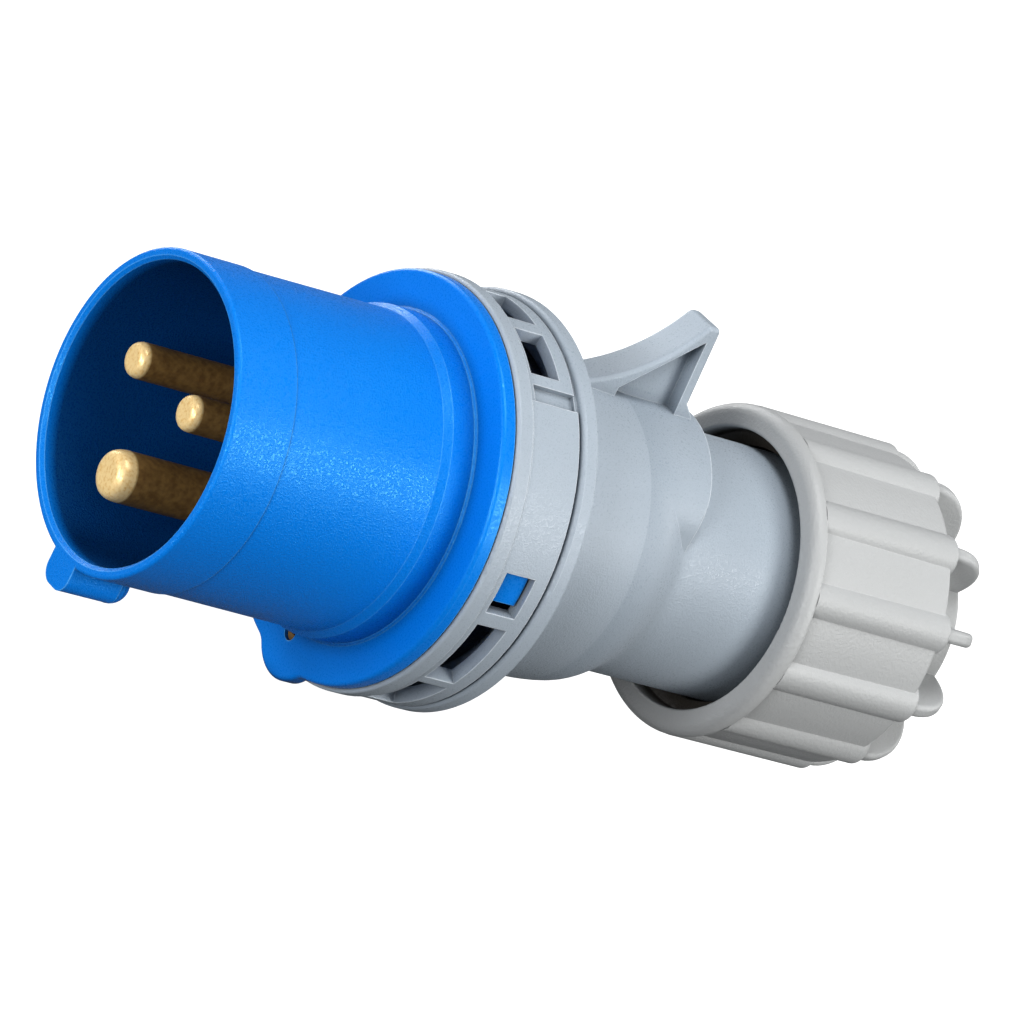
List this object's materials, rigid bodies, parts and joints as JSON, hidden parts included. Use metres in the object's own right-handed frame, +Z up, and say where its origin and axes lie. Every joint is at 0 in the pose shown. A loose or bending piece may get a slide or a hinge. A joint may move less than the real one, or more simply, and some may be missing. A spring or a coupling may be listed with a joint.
{
  "type": "industrial pin and sleeve plug",
  "caption": "Straight industrial pin and sleeve plug: round keyed sleeve around contact pins, collar with latch windows, lid-catch fin and ribbed gland nut for the cable.",
  "frame": {"origin": "centre of the sleeve's mouth, on the plug's axis", "axes": "+X along the axis towards the cable outlet, +Z up through the lid-catch fin, away from the key"},
  "size_m": [0.1318, 0.0574, 0.0644],
  "materials": {
    "blue_plastic": "fine spark-eroded grain, smooth flange face",
    "grey_plastic": "fine spark-eroded grain",
    "nut_plastic": "satin",
    "carrier_plastic": "satin",
    "cage_plastic": "satin",
    "brass": "turned",
    "steel": "zinc plated",
    "black_rubber": "matt"
  },
  "bodies": {
    "housing": {"front_shell": "blue_plastic", "flange_gasket": "black_rubber", "rear_body": "grey_plastic", "contact_carrier": "carrier_plastic", "carrier_screws": "steel", "earth_pin": "brass", "line_pin": "brass", "neutral_pin": "brass", "earth_terminal_screw": "steel", "line_terminal_screw": "steel", "neutral_terminal_screw": "steel", "earth_wire_plate": "steel", "line_wire_plate": "steel", "neutral_wire_plate": "steel", "lock_screw": "brass", "clamp_cage": "cage_plastic", "gland_seal": "black_rubber", "seal_reducing_ring": "black_rubber"},
    "gland_ring": {"slip_ring": "cage_plastic"},
    "nut": {"gland_nut": "nut_plastic"}
  },
  "joints": [
    {"name": "ring_slide", "type": "slide", "parent": "housing", "child": "gland_ring", "axis": [-1, 0, 0], "range_m": [-0.0016, 0.0061]},
    {"name": "nut_turn", "type": "hinge", "parent": "gland_ring", "child": "nut", "pos_m": [0.109, 0, 0], "axis": [-1, 0, 0], "range_deg": [-180, 720]}
  ],
  "couplings": [
    {"joint": "ring_slide", "follows": "nut_turn", "m_per_rad": 0.00047746}
  ]
}
